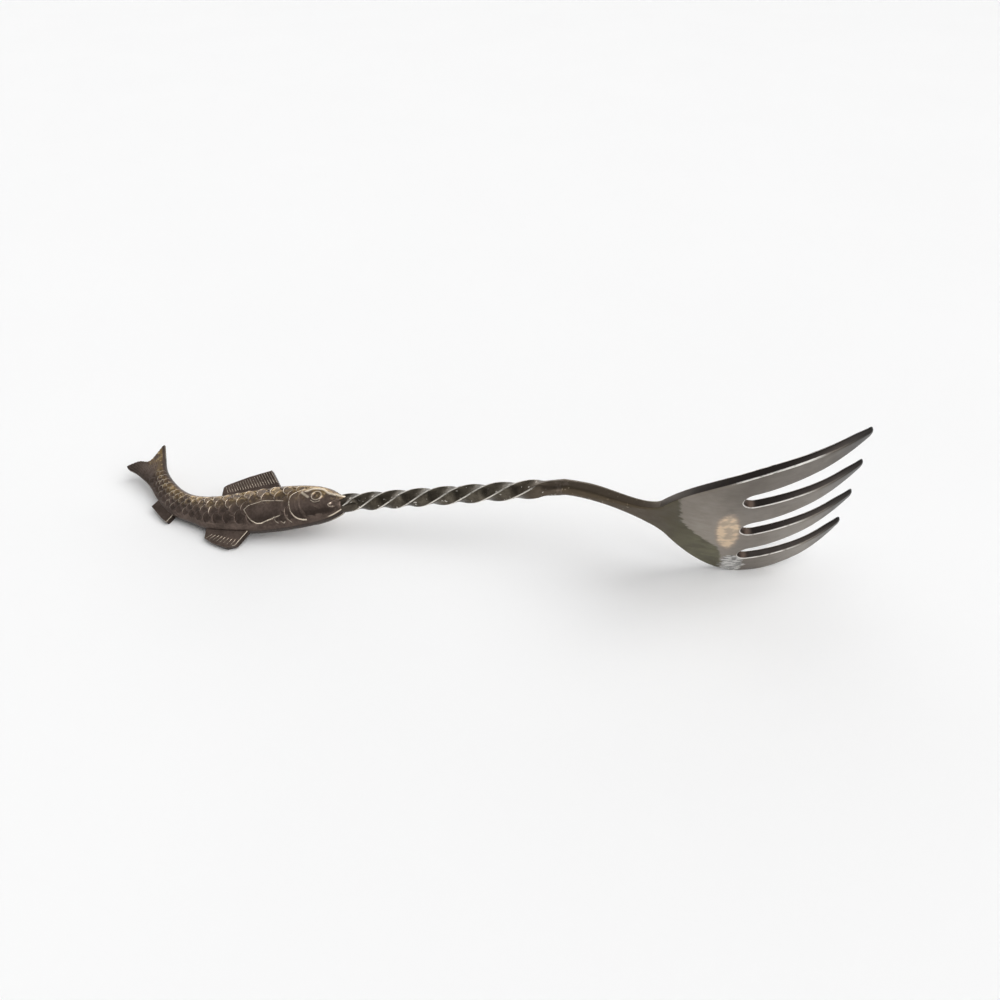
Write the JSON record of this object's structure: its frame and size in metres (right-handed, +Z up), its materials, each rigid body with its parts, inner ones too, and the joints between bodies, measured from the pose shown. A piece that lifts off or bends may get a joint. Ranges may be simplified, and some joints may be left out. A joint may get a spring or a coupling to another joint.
{
  "type": "sardine fork",
  "caption": "Small serving fork with a wide curved head of short pointed tines, a twisted square shank and a cast fish for a handle.",
  "frame": {"origin": "under the middle of the fork as it lies on its side, on the surface it lies on", "axes": "+X from the fish to the tines, +Y towards the hollow side of the head and the fish's back, +Z up from the surface it lies on"},
  "size_m": [0.1468, 0.0334, 0.0376],
  "materials": {
    "head_plate": "worn silver plate, satin, with a warm grey tarnish",
    "shank_plate": "silver plate darkened to gunmetal, bright on the corners",
    "fish_patina": "cast, dark brown patina with the plate worn bright on the relief",
    "hard_solder": "dull grey silver solder"
  },
  "bodies": {
    "root": {"fork_head": "head_plate", "twisted_shank": "shank_plate", "fish_handle": "fish_patina", "mouth_solder": "hard_solder", "neck_solder": "hard_solder"}
  },
  "joints": []
}
